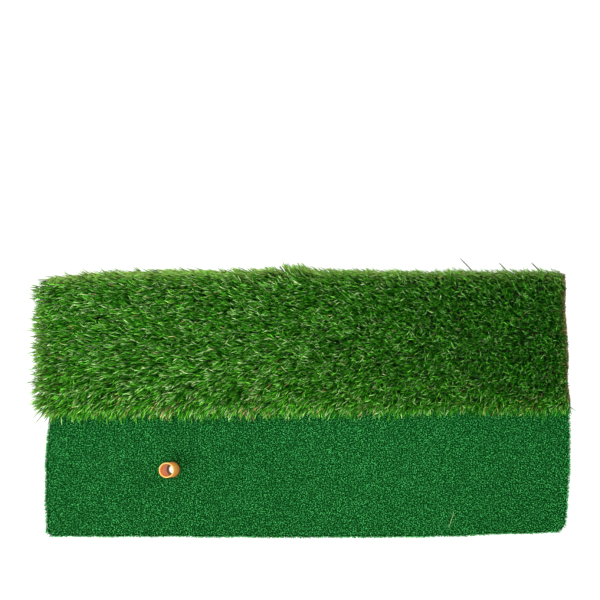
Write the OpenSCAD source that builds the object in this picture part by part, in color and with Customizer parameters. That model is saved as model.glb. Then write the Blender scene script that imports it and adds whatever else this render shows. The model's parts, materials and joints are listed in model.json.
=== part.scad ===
// Golf hitting mat: a tall turf strip and a short turf strip glued side by side on a foam
// base, with a hollow rubber tee pushed up from below through a hole in the short turf.
// The origin is on the underside, at the middle of the mat. +X runs along the mat, +Y
// towards the tall turf and +Z up.

/* [Mat] */
// Length of the mat
mat_l = 600; // [400:5:900]
// Width of the mat over both strips
mat_w = 300; // [240:5:500]
// Thickness of the foam base
foam_t = 10; // [8:0.5:15]
// Radius of the front left corner, next to the tee
front_left_r = 6; // [2:1:25]
// Radius of the front right corner
front_right_r = 12; // [2:1:25]
// Radius of the back left corner, in the tall turf
back_left_r = 16; // [2:1:25]
// Radius of the back right corner
back_right_r = 5; // [2:1:25]
// Gap between the two strips at the seam
seam_gap = 0.3; // [0.1:0.1:1]
// Thickness of the glue film under each strip
glue_t = 0.3; // [0.2:0.1:0.6]
// Thickness of the woven backing of each strip
backing_t = 0.8; // [0.5:0.1:1.2]

/* [Tall turf] */
// Thickness of the latex under the tall turf
rough_latex_t = 1.5; // [1:0.1:2.5]
// Depth of the curly thatch between the blade roots
thatch_t = 7.6; // [6.5:0.1:12]
// Height of the leaning blades above the thatch
blade_h = 17.5; // [12:0.5:25]
// How far the blades lean past the left edge
lean_left = 17; // [8:1:20]
// How far the blades lean over the short turf
lean_front = 17; // [8:1:20]

/* [Short turf] */
// Thickness of the latex under the short turf
fairway_latex_t = 1.2; // [0.8:0.1:2]
// Height of the curly pile
pile_h = 7; // [5:0.5:7.5]

/* [Tee] */
// Distance of the tee to the left of the middle of the mat
tee_left = 156; // [60:1:170]
// Distance of the tee to the front of the seam
tee_front = 74; // [40:1:85]
// Overall height of the tee
tee_h = 60; // [50:1:75]
// Outer diameter of the tube
tube_d = 17; // [16:0.5:19]
// Bore of the tube, down to the top of the flange
bore_d = 14; // [12:0.5:15]
// Diameter of the hole through the flange, at the bottom of the bore
foot_hole_d = 9.5; // [6:0.5:12]
// Diameter of the flange
flange_d = 56; // [50:1:64]
// Thickness of the flange
flange_t = 3; // [2:0.2:4]

/* [Hidden] */
$fn = 64;

// How far a cutter runs past the face that it cuts
over = 1;
// Clearance of the tube in the hole and of the flange in its dent
hole_clearance = 0.65;
dent_clearance = 0.4;
// Height of the bend above the short pile, and the radius of the ball that it turns on
bend_above_pile = 3.2;
bend_ball_above_tube = 0.75;
bend_gap = 0.3;
// Rounding where the tube meets the flange
tube_fillet = 0.6;
// Gap between the thatch and the blades, so that they clear the short pile as they lean out
blade_gap = 0.4;
// Corner radius of the block of blades, thickness of its levels and lean of its top
blade_corner_r = 16;
level_t = 0.5;
top_lean = 0.5;

half_l = mat_l / 2;
half_w = mat_w / 2;
tee_x = -tee_left;
tee_y = -tee_front;
hole_r = tube_d / 2 + hole_clearance;
dent_r = flange_d / 2 + dent_clearance;
dent_h = flange_t + dent_clearance;

// Heights of the layers, from the base up
glue_z = foam_t;
latex_z = glue_z + glue_t;
rough_backing_z = latex_z + rough_latex_t;
thatch_z = rough_backing_z + backing_t;
blade_z = thatch_z + thatch_t;
fairway_backing_z = latex_z + fairway_latex_t;
pile_z = fairway_backing_z + backing_t;
pile_top_z = pile_z + pile_h;

bend_z = pile_top_z + bend_above_pile;
bend_r = tube_d / 2 + bend_ball_above_tube;

// What is left over when a circle is taken out of one corner of its square
module corner_waste(r) {
    difference() {
        translate([-over, -over]) square(r + over);
        translate([r, r]) circle(r);
    }
}

// Outline of the whole mat, with its cut corners
module mat_outline() {
    difference() {
        translate([-half_l, -half_w]) square([mat_l, mat_w]);
        translate([-half_l, -half_w]) corner_waste(front_left_r);
        translate([-half_l, half_w]) mirror([0, 1]) corner_waste(back_left_r);
        translate([half_l, -half_w]) mirror([1, 0]) corner_waste(front_right_r);
        translate([half_l, half_w]) mirror([1, 0]) mirror([0, 1]) corner_waste(back_right_r);
    }
}

// Half of the outline, in front of the seam or behind it
module strip_outline(front) {
    intersection() {
        mat_outline();
        translate([-half_l, front ? -half_w : seam_gap / 2]) square([mat_l, half_w - seam_gap / 2]);
    }
}

module rough_layer(z, t) {
    translate([0, 0, z]) linear_extrude(t) strip_outline(front = false);
}

module fairway_layer(z, t) {
    difference() {
        translate([0, 0, z]) linear_extrude(t) strip_outline(front = true);
        translate([tee_x, tee_y, z - over]) cylinder(h = t + 2 * over, r = hole_r);
    }
}

// Foam pad with the tee hole and, underneath, the dent that the flange sits in
module foam_base() {
    color("#26282a") difference() {
        linear_extrude(foam_t) mat_outline();
        translate([tee_x, tee_y, -over]) cylinder(h = foam_t + 2 * over, r = hole_r);
        translate([tee_x, tee_y, -over]) cylinder(h = dent_h + over, r = dent_r);
    }
}

module rough_adhesive() {
    color("#d8d2b4") rough_layer(glue_z, glue_t);
}

module rough_latex() {
    color("#3b3d3c") rough_layer(latex_z, rough_latex_t);
}

module rough_backing() {
    color("#1d231f") rough_layer(rough_backing_z, backing_t);
}

module rough_thatch() {
    color("#7d6b3a") rough_layer(thatch_z, thatch_t);
}

// One level of the leaning blades: lean is the share of the full lean that it has reached
module blade_level(z, lean) {
    left = -half_l - lean * lean_left + blade_corner_r;
    front = seam_gap / 2 - lean * lean_front + blade_corner_r;
    for (x = [left, half_l - blade_corner_r], y = [front, half_w - blade_corner_r])
        translate([x, y, z]) cylinder(h = level_t, r = blade_corner_r, $fn = 32);
}

// Blades as one soft block that leans to the left and over the short turf
module rough_blades() {
    color("#2f7a1e") hull() {
        blade_level(blade_z + blade_gap, 0);
        blade_level(blade_z + blade_h / 2, 1);
        blade_level(blade_z + blade_h - level_t, top_lean);
    }
}

module fairway_adhesive() {
    color("#d8d2b4") fairway_layer(glue_z, glue_t);
}

module fairway_latex() {
    color("#3b3d3c") fairway_layer(latex_z, fairway_latex_t);
}

module fairway_backing() {
    color("#12301d") fairway_layer(fairway_backing_z, backing_t);
}

module fairway_pile() {
    color("#12702f") fairway_layer(pile_z, pile_h);
}

// Fillet between the flange and the tube
module foot_fillet() {
    translate([0, 0, flange_t]) rotate_extrude() difference() {
        translate([0, -over]) square([tube_d / 2 + tube_fillet, tube_fillet + over]);
        translate([tube_d / 2 + tube_fillet, tube_fillet]) circle(tube_fillet);
    }
}

// Flange and the part of the tube that the mat holds, up to the socket that the stem bends in
module tee_foot() {
    color("#d8821e") translate([tee_x, tee_y, 0]) difference() {
        union() {
            cylinder(h = flange_t, d = flange_d);
            cylinder(h = bend_z, d = tube_d);
            foot_fillet();
        }
        translate([0, 0, -over]) cylinder(h = tee_h, d = foot_hole_d);
        translate([0, 0, flange_t]) cylinder(h = tee_h, d = bore_d);
        translate([0, 0, bend_z]) sphere(r = bend_r + bend_gap);
    }
}

// Upper part of the tube, which bends when the club meets it
module tee_stem() {
    color("#e89a35") translate([tee_x, tee_y, 0]) difference() {
        union() {
            intersection() {
                translate([0, 0, bend_z - bend_r]) cylinder(h = bend_r + over, d = tube_d);
                translate([0, 0, bend_z]) sphere(r = bend_r);
            }
            translate([0, 0, bend_z]) cylinder(h = tee_h - bend_z, d = tube_d);
        }
        translate([0, 0, bend_z - 2 * bend_r]) cylinder(h = tee_h, d = bore_d);
    }
}

foam_base();
rough_adhesive();
rough_latex();
rough_backing();
rough_thatch();
rough_blades();
fairway_adhesive();
fairway_latex();
fairway_backing();
fairway_pile();
tee_foot();
tee_stem();
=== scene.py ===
"""Looks of the golf hitting mat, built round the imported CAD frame. Metres, +Z up."""

import json
import math

import bmesh
import bpy
import numpy as np
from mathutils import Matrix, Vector


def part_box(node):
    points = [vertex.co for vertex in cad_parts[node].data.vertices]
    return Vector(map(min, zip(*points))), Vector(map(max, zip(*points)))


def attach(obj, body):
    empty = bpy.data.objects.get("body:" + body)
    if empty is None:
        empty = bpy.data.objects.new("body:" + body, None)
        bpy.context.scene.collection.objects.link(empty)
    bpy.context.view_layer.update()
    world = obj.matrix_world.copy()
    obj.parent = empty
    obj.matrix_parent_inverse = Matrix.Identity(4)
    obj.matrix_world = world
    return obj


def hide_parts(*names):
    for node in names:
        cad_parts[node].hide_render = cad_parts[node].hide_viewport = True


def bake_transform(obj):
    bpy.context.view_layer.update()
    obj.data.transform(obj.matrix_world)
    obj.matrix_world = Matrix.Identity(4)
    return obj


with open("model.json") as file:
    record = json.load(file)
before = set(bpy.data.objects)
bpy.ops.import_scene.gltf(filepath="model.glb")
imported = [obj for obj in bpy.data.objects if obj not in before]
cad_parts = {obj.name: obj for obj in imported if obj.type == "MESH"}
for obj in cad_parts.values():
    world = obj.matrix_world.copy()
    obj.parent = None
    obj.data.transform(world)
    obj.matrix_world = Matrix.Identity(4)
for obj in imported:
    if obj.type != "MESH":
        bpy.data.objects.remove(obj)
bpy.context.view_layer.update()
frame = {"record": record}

MM = 0.001
TURN = 2 * math.pi
# one seeded source for everything that varies from fibre to fibre
draws = np.random.default_rng(435)

# ---------------------------------------------------------------- places from the frame
foam_low, foam_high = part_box("foam_base")
fairway_low, fairway_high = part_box("fairway_pile")
rough_low, rough_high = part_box("rough_backing")
foot_low, foot_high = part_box("tee_foot")
stem_low, stem_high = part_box("tee_stem")
tee_x = (foot_low.x + foot_high.x) / 2
tee_y = (foot_low.y + foot_high.y) / 2
half_l = foam_high.x
half_w = foam_high.y
bore = next(m for m in frame["record"]["mounts"] if m["name"] == "tee_bore")
bore_r = bore["dims"]["r_mm"] * MM
tube_r = (stem_high.x - stem_low.x) / 2
flange_r = (foot_high.x - foot_low.x) / 2
tee_top = stem_high.z

# sizes that the frame doesn't give
FOOT_HOLE_R = 4.75 * MM
FLANGE_T = 3 * MM
HOLE_CLEARANCE = 0.65 * MM
DENT_CLEARANCE = 0.4 * MM
hole_r = tube_r + HOLE_CLEARANCE
dent_r = flange_r + DENT_CLEARANCE
dent_h = FLANGE_T + DENT_CLEARANCE


# ---------------------------------------------------------------- node helpers
class Nodes:
    """A material's node tree, with one call for each kind of node that the mat uses."""

    def __init__(self, name):
        self.material = bpy.data.materials.new(name)
        self.material.use_nodes = True
        self.tree = self.material.node_tree
        self.shader = self.tree.nodes["Principled BSDF"]

    def add(self, kind, links=None, values=None, **settings):
        node = self.tree.nodes.new(kind)
        for key, value in settings.items():
            setattr(node, key, value)
        for key, value in (values or {}).items():
            node.inputs[key].default_value = value
        for key, source in (links or {}).items():
            self.tree.links.new(source, node.inputs[key])
        return node

    def place(self):
        """Coordinates in the piece's own metres."""
        return self.add("ShaderNodeTexCoord").outputs["Object"]

    def noise(self, scale, detail):
        values = {"Scale": scale, "Detail": detail}
        return self.add("ShaderNodeTexNoise", {"Vector": self.place()}, values).outputs["Fac"]

    def ramp(self, factor, *stops):
        """stops are (position, colour)."""
        node = self.add("ShaderNodeValToRGB", {"Fac": factor})
        while len(node.color_ramp.elements) < len(stops):
            node.color_ramp.elements.new(0.5)
        for element, (position, colour) in zip(node.color_ramp.elements, stops):
            element.position = position
            element.color = (*colour, 1)
        return node.outputs["Color"]

    def times(self, a, b):
        """Colour a multiplied by colour b."""
        node = self.add("ShaderNodeMix", data_type="RGBA", blend_type="MULTIPLY")
        factor, first, second = (node.inputs[k] for k in (0, 6, 7))
        factor.default_value = 1.0
        self.tree.links.new(a, first)
        self.tree.links.new(b, second)
        return node.outputs[2]

    def spread(self, value, low, high):
        """value from 0 to 1, mapped to low to high."""
        return self.add("ShaderNodeMapRange", {"Value": value}, {"To Min": low, "To Max": high}).outputs[0]

    def attribute(self, name):
        return self.add("ShaderNodeAttribute", attribute_name=name).outputs["Color"]

    def bump(self, height, strength, distance):
        node = self.add("ShaderNodeBump", {"Height": height}, {"Strength": strength, "Distance": distance})
        self.tree.links.new(node.outputs[0], self.shader.inputs["Normal"])

    def finish(self, colour, roughness, **values):
        self.tree.links.new(colour, self.shader.inputs["Base Color"])
        if isinstance(roughness, bpy.types.NodeSocket):
            self.tree.links.new(roughness, self.shader.inputs["Roughness"])
        else:
            self.shader.inputs["Roughness"].default_value = roughness
        for key, value in values.items():
            self.shader.inputs[key.replace("_", " ")].default_value = value
        return self.material


# ---------------------------------------------------------------- materials
def blade_material():
    """Extruded yarn: the blade's tint, which carries its painted shade and highlight, with long faint
    streaks.
    """
    n = Nodes("turf_blade")
    streak = n.ramp(n.noise(900, 2), (0.3, (0.78, 0.78, 0.78)), (0.7, (1.15, 1.15, 1.1)))
    return n.finish(n.times(n.attribute("tint"), streak), 0.55, Specular_IOR_Level=0.04)


def thatch_material():
    n = Nodes("turf_thatch")
    fleck = n.ramp(n.noise(1400, 2), (0.3, (0.7, 0.7, 0.7)), (0.7, (1.2, 1.18, 1.12)))
    return n.finish(n.times(n.attribute("tint"), fleck), 0.7, Specular_IOR_Level=0.05)


def pile_material():
    """Crimped nylon: each curl's tint, drifting slightly over the mat."""
    n = Nodes("turf_pile")
    drift = n.ramp(n.noise(18, 3), (0.35, (0.93, 0.95, 0.93)), (0.65, (1.06, 1.04, 1.05)))
    return n.finish(n.times(n.attribute("tint"), drift), 0.7, Specular_IOR_Level=0.04)


def bed_material():
    """The fibres that the curls stand in, painted nearly black-green as shade."""
    n = Nodes("pile_bed")
    colour = n.ramp(n.noise(900, 3), (0.3, (0.001, 0.035, 0.004)), (0.7, (0.003, 0.08, 0.010)))
    n.bump(n.noise(1500, 2), 0.8, 0.0006)
    return n.finish(colour, 0.85, Specular_IOR_Level=0.05)


def backing_material(name, dark, pale):
    """Woven slit tape, seen at the cut edges."""
    n = Nodes(name)
    tape = {"Scale": 160, "Distortion": 0.6}
    place = n.place()
    warp = n.add("ShaderNodeTexWave", {"Vector": place}, tape, bands_direction="X").outputs["Fac"]
    weft = n.add("ShaderNodeTexWave", {"Vector": place}, tape, bands_direction="Y").outputs["Fac"]
    weave = n.add("ShaderNodeMath", {0: warp, 1: weft}, operation="MULTIPLY").outputs[0]
    n.bump(weave, 0.5, 0.0003)
    return n.finish(n.ramp(weave, (0.1, dark), (0.8, pale)), 0.7)


def latex_material():
    n = Nodes("latex")
    grain = n.noise(700, 4)
    n.bump(grain, 0.6, 0.0004)
    return n.finish(n.ramp(grain, (0.3, (0.05, 0.052, 0.05)), (0.7, (0.13, 0.135, 0.13))), 0.75)


def glue_material():
    n = Nodes("glue")
    blot = n.noise(120, 3)
    colour = n.ramp(blot, (0.35, (0.35, 0.32, 0.2)), (0.7, (0.62, 0.58, 0.42)))
    return n.finish(colour, n.spread(blot, 0.25, 0.5))


def foam_material():
    """Closed-cell foam: fine pores, painted darker in their pits as shade, and a skin that scuffs grey."""
    n = Nodes("foam")
    pores = n.add("ShaderNodeTexVoronoi", {"Vector": n.place()}, {"Scale": 1100}).outputs["Distance"]
    cloud = n.noise(40, 4)
    tone = n.ramp(cloud, (0.3, (0.02, 0.021, 0.023)), (0.75, (0.043, 0.045, 0.048)))
    # painted shade: each pore's pit is darkened
    pore_shade = n.ramp(pores, (0.0, (0.6, 0.6, 0.6)), (0.5, (1.15, 1.15, 1.15)))
    n.bump(pores, 0.5, 0.0004)
    return n.finish(n.times(tone, pore_shade), n.spread(cloud, 0.8, 0.95))


def tee_material():
    """Translucent amber rubber with faint flow marks, a satin skin and a faint painted amber glow for light
    carried through the wall.
    """
    n = Nodes("tee_rubber")
    flow = n.ramp(n.noise(60, 3), (0.25, (0.90, 0.88, 0.84)), (0.75, (1.04, 1.04, 1.06)))
    n.bump(n.noise(900, 3), 0.10, 0.0002)
    n.shader.inputs["Subsurface Radius"].default_value = (1.0, 0.6, 0.25)
    # painted glow: a faint amber emission that stands in for light carried through the translucent rubber,
    # though the tee is no lamp
    n.shader.inputs["Emission Color"].default_value = (1.0, 0.42, 0.10, 1)
    return n.finish(
        n.times(n.attribute("tint"), flow),
        n.spread(n.noise(300, 3), 0.40, 0.55),
        Subsurface_Weight=0.7,
        Subsurface_Scale=0.006,
        Specular_IOR_Level=0.3,
        Emission_Strength=0.15,
    )


def floor_material():
    """A lit white table, so that the floor stays white round and under the mat."""
    n = Nodes("floor")
    paper = n.ramp(n.noise(6, 2), (0.3, (0.15, 0.15, 0.15)), (0.7, (0.16, 0.16, 0.16)))
    n.shader.inputs["Emission Color"].default_value = (1, 1, 1, 1)
    return n.finish(paper, 0.9, Emission_Strength=0.93)


BLADE = blade_material()
THATCH = thatch_material()
PILE = pile_material()
BED = bed_material()
ROUGH_BACKING = backing_material("rough_backing", (0.004, 0.018, 0.004), (0.014, 0.055, 0.012))
FAIRWAY_BACKING = backing_material("fairway_backing", (0.006, 0.02, 0.01), (0.03, 0.09, 0.05))
LATEX = latex_material()
GLUE = glue_material()
FOAM = foam_material()
TEE = tee_material()
FLOOR = floor_material()


# ---------------------------------------------------------------- mesh helpers
def piece(name, points, faces, material, body, replaces=(), smooth=True):
    """A mesh object on a CAD body. faces is one array of corner numbers for each face size."""
    mesh = bpy.data.meshes.new(name)
    points = np.asarray(points, np.float32).reshape(-1, 3)
    corners = np.concatenate([np.asarray(f, np.int32).ravel() for f in faces])
    sizes = np.concatenate([np.full(len(f), len(f[0]), np.int32) for f in faces])
    mesh.vertices.add(len(points))
    mesh.vertices.foreach_set("co", points.ravel())
    mesh.loops.add(len(corners))
    mesh.loops.foreach_set("vertex_index", corners)
    mesh.polygons.add(len(sizes))
    mesh.polygons.foreach_set("loop_start", np.concatenate([[0], np.cumsum(sizes)[:-1]]).astype(np.int32))
    mesh.polygons.foreach_set("use_smooth", np.full(len(sizes), smooth))
    mesh.materials.append(material)
    mesh.update(calc_edges=True)
    mesh.validate()
    made = bpy.data.objects.new(name, mesh)
    bpy.context.scene.collection.objects.link(made)
    if body:
        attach(made, body)
    if replaces:
        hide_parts(*replaces)
    return made


def paint(made, colours):
    """Writes one colour a point, which the material reads as tint."""
    colours = np.asarray(colours, np.float32).reshape(-1, 3).clip(0, 1)
    layer = made.data.color_attributes.new("tint", "FLOAT_COLOR", "POINT")
    rgba = np.ones((len(colours), 4), np.float32)
    rgba[:, :3] = colours
    layer.data.foreach_set("color", rgba.ravel())


def unit(v):
    return v / np.maximum(np.linalg.norm(v, axis=-1, keepdims=True), 1e-12)


def fibres(name, paths, side, width, thick, tint, material, replaces):
    """Closed three-sided fibres on the mat.

    paths, side and tint are (fibre, ring, 3). width and thick are (fibre, ring).
    """
    count, rings = paths.shape[:2]
    tangent = unit(np.gradient(paths, axis=1))
    side = unit(side - (side * tangent).sum(-1, keepdims=True) * tangent)
    normal = np.cross(tangent, side)
    half = side * width[..., None] / 2
    ring = np.stack([paths - half, paths + half, paths + normal * thick[..., None]], axis=2)
    number = np.arange(count * rings * 3).reshape(count, rings, 3)
    here, there = number[:, :-1], number[:, 1:]
    quads = np.stack([here, np.roll(here, -1, 2), np.roll(there, -1, 2), there], -1).reshape(-1, 4)
    roots = number[:, 0, ::-1].reshape(-1, 3)
    tips = number[:, -1].reshape(-1, 3)
    made = piece(name, ring, [quads, roots, tips], material, "mat", replaces, smooth=False)
    paint(made, np.repeat(tint[:, :, None, :], 3, axis=2))


def waves(x, y, scale, seed, count=6):
    """A smooth random field from -1 to 1 or so, whose bumps are about scale metres across."""
    r = np.random.default_rng(seed)
    angle, phase = r.random(count) * TURN, r.random(count) * TURN
    pitch = TURN / (scale * (0.7 + 1.1 * r.random(count)))
    total = sum(
        np.sin(p * (x * math.cos(a) + y * math.sin(a)) + start) for p, a, start in zip(pitch, angle, phase)
    )
    return total / math.sqrt(count)


# ---------------------------------------------------------------- the mat's hand-cut outline
SEAM = rough_low.y
FRONT_LEFT_R = 6 * MM
FRONT_RIGHT_R = 10 * MM
BACK_LEFT_R = 16 * MM
BACK_RIGHT_R = 5 * MM
SEAM_R = 0.4 * MM


def ease(low, high, value):
    """0 up to low, 1 from high on, and smooth between them."""
    s = np.clip((value - low) / (high - low), 0, 1)
    return s * s * (3 - 2 * s)


def left_edge(y):
    """Cut a little inward towards the seam, and out again past it."""
    bulge = 5.2 * MM * ease(-0.075, 0, y) * (1 - 0.75 * ease(-0.002, 0.010, y))
    bulge = bulge + 1.0 * MM * ease(-0.1, -half_w, y)
    return -half_l + bulge - 0.3 * MM + 0.5 * MM * waves(y, 0 * y, 0.04, 11)


def right_edge(y):
    """Cut on a slight slant, and widest in the middle of the short turf."""
    front = 4.7 * MM * ease(-0.04, -half_w - 0.01, y)
    back = 3.2 * MM * (ease(0, 0.03, y) + ease(0.06, half_w, y))
    return half_l + 1.2 * MM - front - back + 0.5 * MM * waves(y, 0 * y, 0.04, 12)


def front_edge(x):
    """Bowed out a little, and cut back towards the right corner."""
    bow = 0.5 * MM + 1.2 * MM * np.exp(-((x / 0.2) ** 2))
    return -half_w - bow + 4.6 * MM * ease(0.1, half_l, x) + 0.4 * MM * waves(x, 0 * x, 0.05, 13)


def back_edge(x):
    """Straight but for a small hump, and cut back towards the left corner."""
    hump = 1.8 * MM * np.exp(-(((x + 0.010) / 0.024) ** 2))
    return half_w + hump - 5 * MM * ease(-0.15, -0.29, x) + 0.5 * MM * waves(x, 0 * x, 0.05, 14)


def inside(x, y, gap=0.0, extra_r=0.0):
    """Whether points are on the mat, gap or more from its cut edge. extra_r rounds the back left corner."""
    left, right = left_edge(y) + gap, right_edge(y) - gap
    front, back = front_edge(x) + gap, back_edge(x) - gap
    ok = (x > left) & (x < right) & (y > front) & (y < back)
    for edge, sign, border, up, r in (
        (left, -1, front, -1, FRONT_LEFT_R),
        (right, 1, front, -1, FRONT_RIGHT_R),
        (left, -1, back, 1, BACK_LEFT_R + extra_r),
        (right, 1, back, 1, BACK_RIGHT_R),
    ):
        dx, dy = sign * (x - (edge - sign * r)), up * (y - (border - up * r))
        ok &= ~((dx > 0) & (dy > 0) & (dx * dx + dy * dy > r * r))
    return ok


def outline(y_low, y_high, inset=0.0, step=4 * MM):
    """Points round the mat, or round one strip of it, counter-clockwise."""
    back_is_seam, front_is_seam = y_high < half_w - MM, y_low > -half_w + MM
    ys = np.arange(y_low, y_high, step)
    points = []

    def corner(cx, cy, r, start):
        for a in np.linspace(start, start + TURN / 4, 9):
            points.append((cx + r * math.cos(a), cy + r * math.sin(a)))

    # corner radii, left and right, in front and behind: a seam's corners are nearly sharp
    lc_f, rc_f = (SEAM_R, SEAM_R) if front_is_seam else (FRONT_LEFT_R, FRONT_RIGHT_R)
    lc_b, rc_b = (SEAM_R, SEAM_R) if back_is_seam else (BACK_LEFT_R, BACK_RIGHT_R)

    def front(x):
        return (np.full_like(x, y_low) if front_is_seam else front_edge(x)) + inset

    def back(x):
        return (np.full_like(x, y_high) if back_is_seam else back_edge(x)) - inset

    def at(f, v):
        return float(f(np.array([v]))[0])

    left_f, right_f = at(left_edge, y_low) + inset, at(right_edge, y_low) - inset
    left_b, right_b = at(left_edge, y_high) + inset, at(right_edge, y_high) - inset
    corner(left_f + lc_f, at(front, left_f + lc_f) + lc_f, lc_f, TURN / 2)
    for x in np.arange(left_f + lc_f + step, right_f - rc_f - step / 2, step):
        points.append((x, at(front, x)))
    corner(right_f - rc_f, at(front, right_f - rc_f) + rc_f, rc_f, 3 * TURN / 4)
    for y in ys[(ys > y_low + rc_f + step + inset) & (ys < y_high - rc_b - step - inset)]:
        points.append((at(right_edge, y) - inset, y))
    corner(right_b - rc_b, at(back, right_b - rc_b) - rc_b, rc_b, 0)
    for x in np.arange(right_b - rc_b - step, left_b + lc_b + step / 2, -step):
        points.append((x, at(back, x)))
    corner(left_b + lc_b, at(back, left_b + lc_b) - lc_b, lc_b, TURN / 4)
    for y in ys[(ys > y_low + lc_f + step + inset) & (ys < y_high - lc_b - step - inset)][::-1]:
        points.append((at(left_edge, y) + inset, y))
    return np.array(points)


def circle(r, count=72):
    a = np.arange(count) * TURN / count
    return np.stack([tee_x + r * np.cos(a), tee_y + r * np.sin(a)], 1)


def slab(name, z_low, z_high, ring, holes, material, replaces, round_r=0.0):
    """A flat layer on the mat, with its edges chamfered by round_r.

    holes is (radius, depth from below) pairs: a through hole first, then a dent.
    """
    bm = bmesh.new()
    through = holes[0][0] if holes else 0
    dent, depth = holes[1] if len(holes) > 1 else (0, 0)

    def loop(points, z, inset=0.0):
        inward = unit(points.mean(0) - points)
        verts = [bm.verts.new((*p, z)) for p in points + inward * inset]
        return verts, [bm.edges.new(pair) for pair in zip(verts, verts[1:] + verts[:1])]

    def wall(a, b):
        for i in range(len(a)):
            j = (i + 1) % len(a)
            bm.faces.new((a[i], a[j], b[j], b[i]))

    bottom, bottom_edges = loop(ring, z_low, round_r)
    top, top_edges = loop(ring, z_high, round_r)
    if round_r:
        low_side, _ = loop(ring, z_low + round_r)
        high_side, _ = loop(ring, z_high - round_r)
        wall(bottom, low_side)
        wall(low_side, high_side)
        wall(high_side, top)
    else:
        wall(bottom, top)
    if through:
        hole_top, hole_edges = loop(circle(through), z_high)
        top_edges = top_edges + hole_edges
        if dent:
            rim, rim_edges = loop(circle(dent), z_low)
            roof, roof_edges = loop(circle(dent), z_low + depth)
            lip, lip_edges = loop(circle(through), z_low + depth)
            wall(roof, rim)
            wall(hole_top, lip)
            bottom_edges = bottom_edges + rim_edges
            bmesh.ops.triangle_fill(bm, edges=roof_edges + lip_edges, use_beauty=True)
        else:
            hole_low, low_edges = loop(circle(through), z_low)
            wall(hole_top, hole_low)
            bottom_edges = bottom_edges + low_edges
    bmesh.ops.triangle_fill(bm, edges=top_edges, use_beauty=True)
    bmesh.ops.triangle_fill(bm, edges=bottom_edges, use_beauty=True)
    bmesh.ops.recalc_face_normals(bm, faces=bm.faces)
    mesh = bpy.data.meshes.new(name)
    bm.to_mesh(mesh)
    bm.free()
    mesh.materials.append(material)
    made = bpy.data.objects.new(name, mesh)
    bpy.context.scene.collection.objects.link(made)
    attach(made, "mat")
    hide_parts(*replaces)
    return made


# ---------------------------------------------------------------- camera, lights, floor
CAMERA_PLACE = (-8.4 * MM, -57 * MM, 1.17)
CAMERA_LENS = 60.3
CAMERA_SHIFT = 0.258
SENSOR = 36


def light(name, place, size, power):
    """A round area light, aimed at the middle of the mat."""
    data = bpy.data.lights.new(name, "AREA")
    data.shape = "DISK"
    data.size = size
    data.energy = power
    made = bpy.data.objects.new(name, data)
    made.location = place
    made.rotation_euler = (-Vector(place)).to_track_quat("-Z", "Y").to_euler()
    bpy.context.scene.collection.objects.link(made)


def studio():
    """White surroundings, two soft lights, the camera and the floor."""
    scene = bpy.context.scene
    scene.view_settings.view_transform = "Standard"
    world = bpy.data.worlds.new("studio")
    scene.world = world
    world.use_nodes = True
    sky = world.node_tree.nodes["Background"].inputs
    sky["Color"].default_value = (1, 1, 1, 1)
    sky["Strength"].default_value = 0.5
    light("key", (-1.0, -0.8, 1.9), size=2.0, power=68)
    light("fill", (1.1, 0.3, 1.6), size=1.2, power=14)

    # straight above the short turf, far enough away to lean the tee outward
    camera = bpy.data.cameras.new("camera")
    camera.sensor_width = SENSOR
    camera.lens = CAMERA_LENS
    camera.shift_y = CAMERA_SHIFT
    holder = bpy.data.objects.new("camera", camera)
    holder.location = CAMERA_PLACE
    scene.collection.objects.link(holder)
    scene.camera = holder

    size, cells = 6.0, 8
    axis = np.linspace(-size, size, cells + 1)
    grid = np.stack([*np.meshgrid(axis, axis, indexing="ij"), np.zeros((cells + 1, cells + 1))], -1)
    number = np.arange((cells + 1) ** 2).reshape(cells + 1, -1)
    quads = np.stack([number[:-1, :-1], number[1:, :-1], number[1:, 1:], number[:-1, 1:]], -1).reshape(-1, 4)
    floor = piece("floor", grid, [quads], FLOOR, None)


# ---------------------------------------------------------------- base and layers
# how far each layer stops short of the cut edge
FOAM_INSET = 0.4 * MM
GLUE_INSET = 1.0 * MM
LATEX_INSET = 0.5 * MM
CLOTH_INSET = 0.3 * MM
FOAM_CHAMFER = 0.8 * MM


def foam_pad():
    """The base under both strips, with the tee's hole and the dent for its flange."""
    foam = slab(
        "foam_pad", foam_low.z, foam_high.z, outline(-half_w, half_w, FOAM_INSET),
        [(hole_r, 0), (dent_r, dent_h)], FOAM, ["foam_base"], round_r=FOAM_CHAMFER,
    )


def strip_layers(strip, y_low, y_high, holes, weave):
    """The glue film, latex coat and woven cloth under one strip of turf."""
    latex_low, latex_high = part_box(f"{strip}_latex")
    cloth_low, cloth_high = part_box(f"{strip}_backing")
    slab(
        f"{strip}_glue_film", foam_high.z, latex_low.z, outline(y_low, y_high, GLUE_INSET), holes,
        GLUE, [f"{strip}_adhesive"],
    )
    slab(
        f"{strip}_latex_coat", latex_low.z, latex_high.z, outline(y_low, y_high, LATEX_INSET), holes,
        LATEX, [f"{strip}_latex"],
    )
    cloth = slab(
        f"{strip}_backing_cloth", cloth_low.z, cloth_high.z, outline(y_low, y_high, CLOTH_INSET), holes,
        weave, [f"{strip}_backing"],
    )


# ---------------------------------------------------------------- tall turf
BLADE_PIECES = 10
ROW_GAP = 6.4 * MM
STITCH_GAP = 4.6 * MM
ENDS_A_TUFT = 14
# millimetres, at the left end
BLADE_LENGTH = 26.0
BLADE_WIDTH = 1.15
# degrees from upright where a blade starts and ends
ROOT_TILT = 13
TIP_TILT = 66
# along each blade: where its rings are, and its width there as a share
BLADE_RINGS = np.array([0, 0.45, 0.70, 0.87, 1])
BLADE_SHAPE = np.array([0.8, 1.0, 1.0, 0.8, 0.15])
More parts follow.
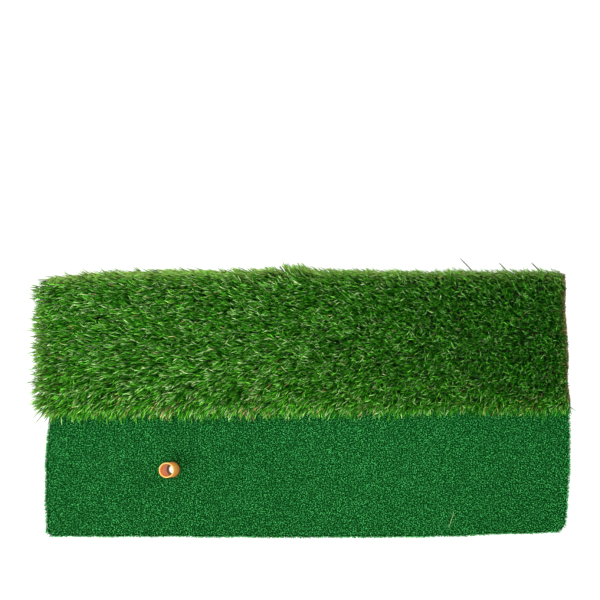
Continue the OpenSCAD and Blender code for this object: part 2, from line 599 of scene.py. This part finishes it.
# field green, dark green, spring green, pale lime: (colour, share)
BLADE_TINTS = (
    ((0.030, 0.190, 0.006), 0.34),
    ((0.006, 0.075, 0.002), 0.32),
    ((0.085, 0.315, 0.024), 0.19),
    ((0.250, 0.460, 0.145), 0.15),
)
# painted shade down among the roots: each blade runs from this near-black at its root to its own colour at
# the tip
BLADE_ROOT_SHADE = np.array((0.001, 0.018, 0.0005))
DRY_TINT = np.array((0.26, 0.20, 0.075))
# painted highlight, mixed into the blades along the left and back edges
EDGE_HIGHLIGHT_TINT = np.array((0.30, 0.49, 0.10))
# painted shade: how much of the red, green and blue goes from the blades towards the right end, where they
# are seen end-on
PAINTED_SHADE_RIGHT = np.array((0.37, 0.14, 0.40))
# the three long strays on the back edge: x of the tip, and how far the tip is past the edge
STRAYS = ((173, 16), (217, 11), (254, 11))


def towards_back(y):
    """0 at the seam, 1 at the back edge."""
    return np.clip((y - SEAM) / (half_w - SEAM), 0, 1)


def lean_direction(x, y):
    """Plan direction in which the blades lie.

    It is left along the strip, a little back at its back edge, and forward at its front.
    """
    b = towards_back(y)
    angle = 183 + 36 * (1 - b) ** 2.5 - 10 * ease(0.8, 1.0, b)
    drift = 6 * waves(x, y, 0.09, 21) + 6 * waves(x, y, 0.03, 22)
    angle = angle + drift * (1 - 0.6 * ease(0.7, 1, b))
    angle = angle + 24 * np.exp(-(((x + half_l) / 0.035) ** 2 + ((y - half_w) / 0.04) ** 2))
    angle = angle + 20 * near(y - SEAM, 10 * MM) * (1 - 0.7 * near(x + half_l, 25 * MM))
    hump = 45 * np.exp(-(((x + 0.012) / 0.022) ** 2 + ((y - half_w) / 0.012) ** 2))
    return np.radians(angle - hump)


def blade_paths(root, plan, start, end, length, curl):
    """Blade centre lines that stand up from their roots, then bend over towards plan."""
    s = BLADE_RINGS
    tilt = start[:, None] + (end - start)[:, None] * ease(0.25, 1.0, s)
    turn = plan[:, None] + curl[:, None] * s**2
    heading = np.stack([np.sin(tilt) * np.cos(turn), np.sin(tilt) * np.sin(turn), np.cos(tilt)], -1)
    middle = unit(heading[:, 1:] + heading[:, :-1])
    step = middle * (length[:, None] * np.diff(s))[..., None]
    paths = root[:, None, :] + np.concatenate([np.zeros((len(root), 1, 3)), np.cumsum(step, 1)], 1)
    level = np.stack([-np.sin(turn), np.cos(turn), np.zeros_like(turn)], -1)
    return paths, level, np.cross(heading, level)


def near(gap, reach):
    """1 at an edge, falling off over reach."""
    return np.exp(-np.clip(gap, 0, None) / reach)


def seam_patches(x):
    """High where the seam is dry and tan."""
    return waves(x, 0 * x, 0.035, 41)


def dryness(x, y):
    """Share of the blades that are dry and tan: more along the cut edges, and in patches by the seam."""
    patches = ease(0.2, 1.0, seam_patches(x))
    seam = near(y - SEAM, 8 * MM) * (0.015 + 0.15 * patches)
    right = 0.30 * near(right_edge(y) - x, 2.5 * MM)
    back = 0.10 * near(back_edge(x) - y, 3 * MM)
    return 0.008 + right + back + seam


def tuft_places():
    """Stitches on rows, with an extra row along each edge."""
    xs = np.arange(-half_l + 2.5 * MM, half_l - 1 * MM, STITCH_GAP)
    ys = np.linspace(SEAM + 1.4 * MM, half_w - 2.2 * MM, round((half_w - SEAM) / ROW_GAP))
    x, y = (a.ravel() for a in np.meshgrid(xs, ys, indexing="ij"))
    x = x + draws.normal(0, 0.9 * MM, x.shape)
    y = y + draws.normal(0, 0.9 * MM, y.shape)
    between = xs + STITCH_GAP / 2
    rows = ys + ROW_GAP / 2
    ends = np.arange(SEAM + 2 * MM, half_w - 3 * MM, 3.4 * MM)
    x = np.concatenate([x, between, between, left_edge(rows) + 2.4 * MM, right_edge(ends) - 2.5 * MM])
    back, front = back_edge(between) - 1.4 * MM, np.full(len(xs), SEAM + 1 * MM)
    y = np.concatenate([y, back, front, rows, ends])
    keep = inside(x, y, 0.6 * MM, extra_r=4 * MM)
    return x[keep], y[keep]


def tall_blades():
    """Flat leaning yarn in tufts. Painted shade darkens the roots and the right end, where the blades are
    seen end-on; a painted highlight pales the tips along the left and back edges.
    """
    x, y = tuft_places()
    tufts = len(x)
    tuft_turn, tuft_tilt = np.radians(draws.normal(0, (6, 4), (tufts, 2))).T
    tuft_shade = draws.normal(1, 0.08, tufts)

    tuft = np.repeat(np.arange(tufts), ENDS_A_TUFT)
    count = len(tuft)
    root = np.stack([x[tuft], y[tuft], np.full(count, rough_high.z - 0.3 * MM)], 1)
    root[:, :2] += draws.normal(0, 1.3 * MM, (count, 2))
    root_x, root_y = root[:, 0], root[:, 1]
    right = ease(-half_l, half_l, root_x)
    cut_right = near(right_edge(root_y) - root_x, 4 * MM)
    cut_back = ease(0.9, 1.0, towards_back(root_y))
    loose = right * (1 - cut_right)
    by_seam = near(root_y - SEAM, 7 * MM)
    corner = by_seam * near(root_x + half_l, 20 * MM)
    plan = lean_direction(root_x, root_y) + tuft_turn[tuft]
    calm = 1 - 0.6 * cut_back
    plan = plan + np.radians(draws.normal(0, 1, count) * (14 + 16 * corner + 14 * loose) * calm)
    start = ROOT_TILT + draws.normal(0, 8, count) * calm - 5 * right
    end = TIP_TILT + draws.normal(0, 13, count) * (1 + 0.3 * loose) * calm
    end = end - 12 * right - 16 * cut_right + 20 * by_seam
    start, end = (np.radians(a) + tuft_tilt[tuft] * calm for a in (start, end))
    length = (BLADE_LENGTH - 3.5 * right - 4.0 * cut_right + 2.5 * by_seam + 8.0 * corner) * MM
    length = length * np.clip(1 + draws.normal(0, 0.10, count) * calm, 0.7, 1.15)
    curl = np.radians(draws.normal(0, 18, count)) * (1 + 0.6 * loose) * calm
    paths, level, upward = blade_paths(root, plan, start, end, length, curl)

    turned = np.radians(draws.normal(0, 26, count))[:, None]
    twist = turned + np.radians(draws.normal(0, 30, count))[:, None] * BLADE_RINGS
    side = level * np.cos(twist)[..., None] + upward * np.sin(twist)[..., None]
    width = ((BLADE_WIDTH - 0.40 * right) * draws.uniform(0.75, 1.15, count) * MM)[:, None] * BLADE_SHAPE
    thick = 0.2 * width

    shares = np.array([share for _, share in BLADE_TINTS])
    kind = draws.choice(len(shares), count, p=shares / shares.sum())
    patch = 1 + 0.08 * waves(root_x, root_y, 0.04, 23) + 0.34 * near(root_y - SEAM, 25 * MM)
    patch = patch * (1 + 0.10 * np.exp(-((root_x / 0.12) ** 2)))
    shade = np.exp(draws.normal(-0.07, 0.46, count)) * tuft_shade[tuft] * patch
    # painted shade: colour taken away towards the right end, where the blades are seen end-on
    shade = shade[:, None] * (1 - PAINTED_SHADE_RIGHT * ease(-0.1, half_l, root_x)[:, None])
    colour = np.array([c for c, _ in BLADE_TINTS])[kind] * shade
    dry = draws.random(count) < dryness(root_x, root_y)
    colour[dry] = DRY_TINT * shade[dry]
    # painted highlight: blades near the left and back edges are mixed towards pale, for light catching their
    # tips
    lit_left = 0.45 * near(root_x - left_edge(root_y), 5 * MM)
    lit_back = 0.65 * near(back_edge(root_x) - root_y, 5 * MM)
    lit = np.maximum(lit_left, lit_back)
    colour = colour + (EDGE_HIGHLIGHT_TINT - colour) * lit[:, None]
    # painted shade: the lower half of each blade darkens towards the near-black root colour
    root_shade_fade = ease(0.54, 1.0, BLADE_RINGS)[:, None]
    tint = BLADE_ROOT_SHADE + (1.44 * colour[:, None, :] - BLADE_ROOT_SHADE) * root_shade_fade

    for k in range(BLADE_PIECES):
        mine = tuft % BLADE_PIECES == k
        fibres(
            f"rough_blades_{k + 1:02d}", paths[mine], side[mine], width[mine], thick[mine],
            tint[mine], BLADE, ["rough_blades"],
        )


def stray_blades():
    """Thin loose ends: three past the back edge, and one lying on the short turf."""
    tips = [(x * MM, half_w + past * MM, 30 * MM) for x, past in STRAYS]
    tips = np.array([*tips, (168 * MM, -120 * MM, fairway_high.z + MM)])
    ways = np.array([(1, -0.95, -0.25)] * len(STRAYS) + [(-0.29, -0.95, 0.02)])
    lengths = np.array([22, 16, 14, 20]) * MM
    s = np.linspace(0, 1, 6)
    ends = tips + unit(ways) * lengths[:, None]
    paths = tips[:, None] + (ends - tips)[:, None] * s[:, None]
    paths[:, :, 0] += 0.3 * MM * np.sin(np.pi * s)
    side = np.cross(unit(ways), (0, 0, 1))[:, None] + 0 * paths
    width = np.array([1.3, 1.3, 1.5, 0.55])[:, None] * MM * np.array([0.4, 0.9, 1, 1, 1, 0.9])
    colour = np.array([(0.07, 0.10, 0.06)] * len(STRAYS) + [(0.33, 0.50, 0.20)])
    tint = colour[:, None] + 0 * paths
    fibres("stray_blades", paths, side, width, 0.3 * width, tint, BLADE, ["rough_blades"])


THATCH_RINGS = 8
THATCH_PIECES = 2
THATCH_BODY = 3000
THATCH_EDGE = 1400
# tan, brown, olive, green: (colour, share among the blades, share along the edges)
THATCH_TINTS = (
    ((0.45, 0.34, 0.13), 0.06, 0.32),
    ((0.09, 0.06, 0.02), 0.30, 0.12),
    ((0.19, 0.22, 0.05), 0.26, 0.30),
    ((0.03, 0.15, 0.015), 0.38, 0.26),
)


def thatch():
    """Crimped yarn that wanders between the roots, and shows along the cut edges and the seam."""
    x = [draws.uniform(-half_l, half_l, THATCH_BODY)]
    y = [draws.uniform(SEAM, half_w, THATCH_BODY)]
    lift = [draws.uniform(1, 8, THATCH_BODY)]
    t = draws.uniform(SEAM, half_w, THATCH_EDGE)
    x.append(right_edge(t) - 0.5 * MM - np.abs(draws.normal(0, 1.5 * MM, THATCH_EDGE)))
    y.append(t)
    lift.append(draws.uniform(0.5, 10, THATCH_EDGE))
    t = draws.uniform(-half_l, half_l, THATCH_EDGE)
    x.append(t)
    y.append(back_edge(t) - 0.5 * MM - np.abs(draws.normal(0, 1.2 * MM, THATCH_EDGE)))
    lift.append(draws.uniform(1, 12, THATCH_EDGE))
    t = draws.uniform(-half_l, half_l, THATCH_EDGE)
    t = t[seam_patches(t) > 0.8]
    x.append(t)
    y.append(SEAM + np.abs(draws.normal(0, 4 * MM, len(t))) + 1 * MM)
    lift.append(draws.uniform(4, 12, len(t)))
    edge = np.concatenate([np.zeros(THATCH_BODY), np.ones(sum(len(a) for a in x[1:]))])
    x, y, lift = np.concatenate(x), np.concatenate(y), np.concatenate(lift) * MM
    keep = inside(x, y, 0.4 * MM, extra_r=2 * MM)
    x, y, lift, edge = x[keep], y[keep], lift[keep], edge[keep]
    count = len(x)

    heading = draws.uniform(0, TURN, count)[:, None]
    heading = heading + np.cumsum(draws.normal(0, 0.75, (count, THATCH_RINGS)), 1)
    step = draws.uniform(0.7, 1.3, count)[:, None] * MM
    s = np.linspace(0, 1, THATCH_RINGS)
    wave = 0.7 * MM * np.sin(draws.uniform(0, TURN, count)[:, None] + 9 * s)
    paths = np.stack(
        [
            x[:, None] + np.cumsum(step * np.cos(heading), 1),
            y[:, None] + np.cumsum(step * np.sin(heading), 1),
            rough_high.z + lift[:, None] + wave + 2 * MM * s,
        ],
        -1,
    )
    # what would pass a cut edge folds back in
    paths[..., 0] -= 1.6 * np.clip(paths[..., 0] - right_edge(paths[..., 1]), 0, None)
    paths[..., 1] -= 1.6 * np.clip(paths[..., 1] - back_edge(paths[..., 0]), 0, None)
    paths[..., 1] = np.maximum(paths[..., 1], SEAM + 0.4 * MM)
    side = np.stack([-np.sin(heading), np.cos(heading), 0.3 + 0 * heading], -1)
    width = draws.uniform(0.4, 0.6, count)[:, None] * MM + 0 * s
    shares = np.array([[a, b] for _, a, b in THATCH_TINTS])
    roll = draws.random(count)
    kind = (roll[:, None] > np.cumsum(shares[:, edge.astype(int)].T, 1)).sum(1).clip(0, len(shares) - 1)
    colour = np.array([c for c, _, _ in THATCH_TINTS])[kind]
    colour = colour * np.exp(draws.normal(0, 0.22, count))[:, None]
    tint = colour[:, None, :] * (0.75 + 0.25 * s)[:, None]
    for k in range(THATCH_PIECES):
        mine = np.arange(count) % THATCH_PIECES == k
        fibres(
            f"rough_thatch_{k + 1}", paths[mine], side[mine], width[mine], 0.6 * width[mine],
            tint[mine], THATCH, ["rough_thatch"],
        )


# ---------------------------------------------------------------- short turf
PILE_PIECES = 8
PILE_GAP = 1.65 * MM
PILE_RINGS = 5
# extra curls along the two ends and along the front
END_CURLS = 1100
FRONT_CURLS = 1700
PILE_GREEN = np.array((0.075, 0.66, 0.148))
# painted shade at the foot of each curl, which runs up to its own green at the top
PILE_ROOT_SHADE = np.array((0.001, 0.095, 0.009))


def short_pile():
    """Crimped nylon curls that stand in a bed of fibres painted dark as shade, and spill a little past the
    cut edge.
    """
    xs = np.arange(-half_l - 3 * MM, half_l + 4 * MM, PILE_GAP)
    ys = np.arange(-half_w - 3 * MM, fairway_high.y, PILE_GAP)
    x, y = (a.ravel() for a in np.meshgrid(xs, ys, indexing="ij"))
    x = x + draws.uniform(-0.5, 0.5, x.shape) * PILE_GAP
    y = y + draws.uniform(-0.5, 0.5, y.shape) * PILE_GAP
    end_y = draws.uniform(-half_w, SEAM, END_CURLS)
    front_x = draws.uniform(-half_l, half_l, FRONT_CURLS)
    end_in = np.abs(draws.normal(0.2, 0.4, END_CURLS)) * MM
    front_in = np.abs(draws.normal(0.2, 0.4, FRONT_CURLS)) * MM
    end_x = np.where(np.arange(END_CURLS) % 2, left_edge(end_y) + end_in, right_edge(end_y) - end_in)
    x = np.concatenate([x, end_x, front_x])
    y = np.concatenate([y, end_y, front_edge(front_x) + front_in])
    off_tee = np.hypot(x - tee_x, y - tee_y) > hole_r + 0.1 * MM
    keep = inside(x, y) & off_tee & (y < fairway_high.y - 0.2 * MM)
    x, y = x[keep], y[keep]
    count = len(x)
    s = np.linspace(0, 1, PILE_RINGS)
    swing = draws.uniform(0.3, 0.9, count)[:, None] * MM
    phase = draws.uniform(0, TURN, count)[:, None]
    twist = draws.choice([-1, 1], count) * draws.uniform(0.4, 0.95, count)
    phase = phase + twist[:, None] * TURN * s
    top = fairway_high.z + draws.normal(-0.5, 0.7, count).clip(-2.4, 0.7)[:, None] * MM
    low = fairway_low.z + 1.6 * MM
    rise = 1 - (1 - s) ** 1.6
    grow = 0.3 + 0.7 * s
    spill = [~inside(x + dx * 2 * MM, y + dy * 2 * MM) for dx, dy in ((1, 0), (-1, 0), (0, -1))]
    out = draws.uniform(-0.2, 1.1, count) * MM
    out_x = (out * (spill[0] * 1.0 - spill[1] * 1.0))[:, None] * s
    out_y = (-out * spill[2])[:, None] * s
    paths = np.stack(
        [
            x[:, None] + out_x + swing * grow * np.cos(phase),
            y[:, None] + out_y + swing * grow * np.sin(phase),
            low + (top - low) * rise,
        ],
        -1,
    )
    paths[..., 1] = np.minimum(paths[..., 1], SEAM - 0.1 * MM)
    # what would touch the tee is pushed off it
    from_tee = paths[..., :2] - (tee_x, tee_y)
    clear = tube_r + 0.5 * MM
    push = clear / np.minimum(np.linalg.norm(from_tee, axis=-1), clear) - 1
    paths[..., :2] += from_tee * push[..., None]
    side = np.stack([np.cos(phase + 0.8), np.sin(phase + 0.8), 0.3 + 0 * phase], -1)
    width = draws.uniform(0.45, 0.75, count)[:, None] * MM * np.array([1, 1, 1, 0.95, 0.7])
    rim = np.minimum(np.minimum(x - left_edge(y), right_edge(y) - x), y - front_edge(x))
    # painted shade: curls darkened in a ring round the tee's hole, and a little along the cut edges
    shaded = 0.6 * near(np.hypot(x - tee_x, y - tee_y) - hole_r, 1.2 * MM) + 0.2 * near(rim, 1.2 * MM)
    shade = draws.uniform(0.38, 1.46, count) * (1 - shaded) * (1 - 0.12 * ease(0.05, half_l, x))
    shade = shade[:, None]
    colour = PILE_GREEN * shade + np.array((0.06, 0.03, 0.05)) * np.clip(shade - 0.8, 0, 1)
    # painted shade: each curl darkens from its top down to the root colour
    tint = PILE_ROOT_SHADE + (1.1 * colour[:, None, :] - PILE_ROOT_SHADE) * ease(0.25, 1.0, s)[:, None]
    for k in range(PILE_PIECES):
        mine = np.arange(count) % PILE_PIECES == k
        fibres(
            f"fairway_pile_{k + 1}", paths[mine], side[mine], width[mine], 0.8 * width[mine],
            tint[mine], PILE, ["fairway_pile"],
        )


def pile_bed():
    """The dense lower half of the short pile, as one lumpy mat of fibre that fills its outline."""
    gap, cell = 0.6 * MM, 2 * MM
    across, deep = (np.linspace(0, 1, round(size / cell)) for size in (2 * half_l, half_w))
    u, v = np.meshgrid(across, deep, indexing="ij")
    front = front_edge((2 * u - 1) * half_l) + gap
    y = front + v * (fairway_high.y - gap - front)
    left, right = left_edge(y) + gap, right_edge(y) - gap
    x = left + u * (right - left)
    for edge, sign, r in ((left, -1, FRONT_LEFT_R), (right, 1, FRONT_RIGHT_R)):
        dx, dy = sign * (x - edge) + r, front + r - y
        pull = np.where((dx > 0) & (dy > 0), r / np.maximum(np.hypot(dx, dy), r), 1)
        x, y = x - sign * dx * (1 - pull), y + dy * (1 - pull)
    rim = hole_r + 0.5 * MM
    dx, dy = x - tee_x, y - tee_y
    far = np.hypot(dx, dy)
    snap = np.where(np.abs(far - rim) < 0.8 * cell, rim / far, 1)
    x, y = tee_x + dx * snap, tee_y + dy * snap
    ok = np.hypot(x - tee_x, y - tee_y) > rim - 0.01 * MM
    lumps = 0.5 * MM * waves(x, y, 0.006, 31, 9) + draws.normal(0, 0.25 * MM, x.shape)
    top = np.stack([x, y, fairway_low.z + 2.6 * MM + lumps], -1).reshape(-1, 3)
    bottom = top * (1, 1, 0) + (0, 0, fairway_low.z + 0.05 * MM)

    number = np.arange(x.size).reshape(x.shape)
    cells = ok[:-1, :-1] & ok[1:, :-1] & ok[1:, 1:] & ok[:-1, 1:]
    roof = np.stack([number[:-1, :-1], number[1:, :-1], number[1:, 1:], number[:-1, 1:]], -1)[cells]
    edges = np.stack([roof, np.roll(roof, -1, 1)], -1).reshape(-1, 2)
    codes, back_codes = edges @ (x.size, 1), edges @ (1, x.size)
    a, b = edges[~np.isin(codes, back_codes)].T
    walls = np.stack([b, a, a + x.size, b + x.size], -1)
    faces = np.concatenate([roof, roof[:, ::-1] + x.size, walls])
    used, faces = np.unique(faces, return_inverse=True)
    piece(
        "fairway_pile_bed", np.concatenate([top, bottom])[used], [faces.reshape(-1, 4)],
        BED, "mat", ["fairway_pile"],
    )


# ---------------------------------------------------------------- tee
def arc(centre_r, centre_z, r, start, end, count=6):
    """Points of a round stretch of the tee's section, in (radius, height)."""
    return [(centre_r + r * math.cos(a), centre_z + r * math.sin(a)) for a in np.linspace(start, end, count)]


def tee_section():
    """The tee's section: the hole in its foot, round the flange, up the tube and down the bore."""
    fillet, edge, chamfer = 0.6 * MM, 0.7 * MM, 0.3 * MM
    lip = (tube_r - bore_r) / 2
    wall = np.linspace(FLANGE_T + 2 * MM, tee_top - lip - 0.4 * MM, 46)
    section = [(FOOT_HOLE_R, FLANGE_T - chamfer), (FOOT_HOLE_R, chamfer), (FOOT_HOLE_R + chamfer, 0)]
    section += arc(flange_r - edge, edge, edge, -TURN / 4, 0)
    section += arc(flange_r - edge, FLANGE_T - edge, edge, 0, TURN / 4)
    section += [(r, FLANGE_T) for r in np.linspace(flange_r - 4 * MM, tube_r + 2 * MM, 5)]
    section += arc(tube_r + fillet, FLANGE_T + fillet, fillet, 3 * TURN / 4, TURN / 2)
    section += [(tube_r, z) for z in wall]
    section += arc((tube_r + bore_r) / 2, tee_top - lip, lip, 0, TURN / 2, 9)
    section += [(bore_r, z) for z in wall[::-1]]
    section += [(bore_r, FLANGE_T + chamfer), (bore_r - chamfer, FLANGE_T)]
    section += [(FOOT_HOLE_R + chamfer, FLANGE_T)]
    return np.array(section)


AMBER_FOOT = np.array((0.75, 0.24, 0.03))
AMBER = np.array((0.86, 0.33, 0.05))
AMBER_TOP = np.array((0.94, 0.41, 0.095))
RIM_PAINTED_HIGHLIGHT = np.array((0.56, 0.43, 0.13))
# inside the bore: painted shade on the flange's ring at the bottom, a painted pink glow low down from light
# up through the foot's hole, and a shaded deep orange near the top
BORE_SHADE = np.array((0.03, 0.02, 0.10))
BORE_PAINTED_GLOW = np.array((0.74, 0.43, 0.42))
BORE_TOP_PAINTED_SHADE = np.array((0.68, 0.23, 0.01))


def tee_colours(section):
    """Amber that deepens towards the foot, with a painted highlight that pales the rim, where thin rubber
    lets light through, and painted shade and glow down the bore.
    """
    r, z = section.T
    up = ease(FLANGE_T, tee_top, z)[:, None]
    low, high = ease(0, 0.5, up), ease(0.5, 1, up)
    outside = AMBER_FOOT + (AMBER - AMBER_FOOT) * low + (AMBER_TOP - AMBER) * high
    outside = np.where((r > tube_r + 1 * MM)[:, None], AMBER, outside)
    inner = (r < (tube_r + bore_r) / 2 - 0.3 * MM)[:, None]
    # painted shade and glow down the bore, by height
    low, high = ease(0.0, 0.02, up), ease(0.3, 1, up)
    bore = BORE_SHADE + (BORE_PAINTED_GLOW - BORE_SHADE) * low + (BORE_TOP_PAINTED_SHADE - BORE_PAINTED_GLOW) * high
    colour = np.where(inner, bore, outside)
    # painted highlight: the top millimetre of the rim pales towards cream
    rim = ease(tee_top - 1.0 * MM, tee_top - 0.3 * MM, z)[:, None]
    return colour + (RIM_PAINTED_HIGHLIGHT - colour) * rim


def tee():
    """One lathe-turned moulding with a bore down to its flange and a smaller hole on through that."""
    section = tee_section()
    around = 96
    a = np.arange(around) * TURN / around
    points = np.stack(
        [
            tee_x + section[:, None, 0] * np.cos(a),
            tee_y + section[:, None, 0] * np.sin(a),
            np.repeat(section[:, 1:], around, 1),
        ],
        -1,
    )
    number = np.arange(len(section) * around).reshape(len(section), around)
    after = np.roll(number, -1, 0)
    quads = np.stack([number, np.roll(number, -1, 1), np.roll(after, -1, 1), after], -1).reshape(-1, 4)
    made = piece("rubber_tee", points, [quads], TEE, None, ["tee_foot", "tee_stem"])
    paint(made, np.repeat(tee_colours(section)[:, None], around, 1))
    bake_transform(made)


studio()
foam_pad()
strip_layers("rough", SEAM, half_w, [], ROUGH_BACKING)
strip_layers("fairway", -half_w, fairway_high.y, [(hole_r, 0)], FAIRWAY_BACKING)
tall_blades()
stray_blades()
thatch()
pile_bed()
short_pile()
tee()
